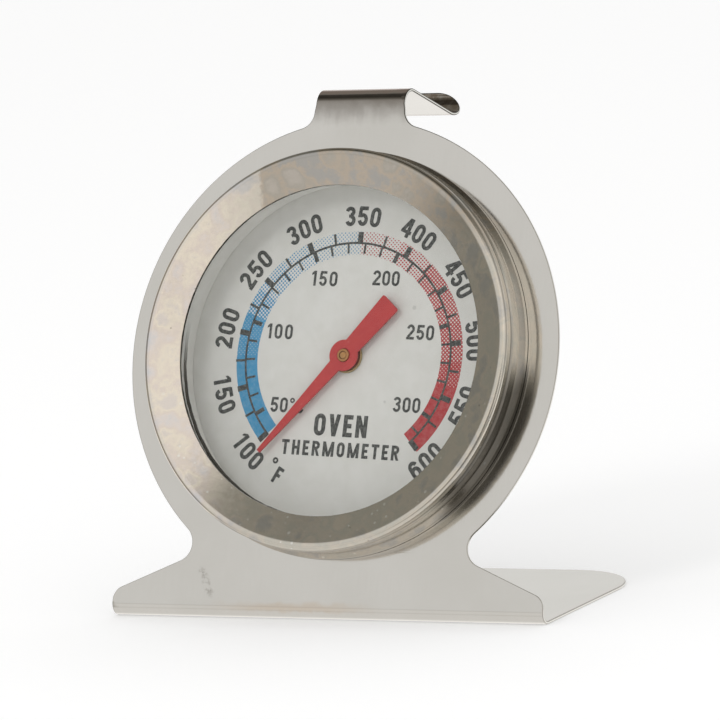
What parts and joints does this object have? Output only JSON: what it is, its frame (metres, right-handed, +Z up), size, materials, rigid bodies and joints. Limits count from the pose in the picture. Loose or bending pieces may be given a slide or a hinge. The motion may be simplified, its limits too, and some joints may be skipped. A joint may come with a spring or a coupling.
{
  "type": "dial oven thermometer",
  "caption": "Bimetal dial oven thermometer with a round steel case on a folded stainless stand that has a foot to stand on and a hook for a rack.",
  "frame": {"origin": "middle of the foot's flat underside", "axes": "+Z up from the foot, +X to the right as the dial is read, +Y backwards from the dial"},
  "size_m": [0.0624, 0.0423, 0.0659],
  "materials": {
    "stand_steel": "satin stainless sheet",
    "case_steel": "plain drawn steel",
    "bezel_steel": "polished stainless with straw heat tint",
    "lens": "clear flat glass",
    "dial_face": "satin pale grey print",
    "pointer_red": "satin red paint",
    "brass": "turned brass",
    "shaft_steel": "ground steel",
    "bimetal": "rolled bimetal strip"
  },
  "bodies": {
    "case_and_stand": {"stand_plate": "stand_steel", "rear_case": "case_steel", "bezel_ring": "bezel_steel", "lens_glass": "lens", "dial_spacer_ring": "case_steel", "dial_plate": "dial_face", "dial_bushing": "brass", "bushing_washer": "brass", "bimetal_coil": "bimetal", "coil_anchor_post": "case_steel", "coil_anchor_rivet": "brass", "post_rivet": "brass", "bearing_bridge": "case_steel", "pivot_bush": "brass", "bridge_rivet_left": "case_steel", "bridge_rivet_right": "case_steel"},
    "pointer_shaft": {"pointer": "pointer_red", "pointer_collet": "brass", "pointer_staff": "shaft_steel", "staff_washer": "brass", "coil_hub": "brass"}
  },
  "joints": [
    {"name": "pointer_turn", "type": "hinge", "parent": "case_and_stand", "child": "pointer_shaft", "pos_m": [0, -0.00529, 0.03281], "axis": [0, 0.9483, -0.3173], "range_deg": [-16, 275]}
  ]
}
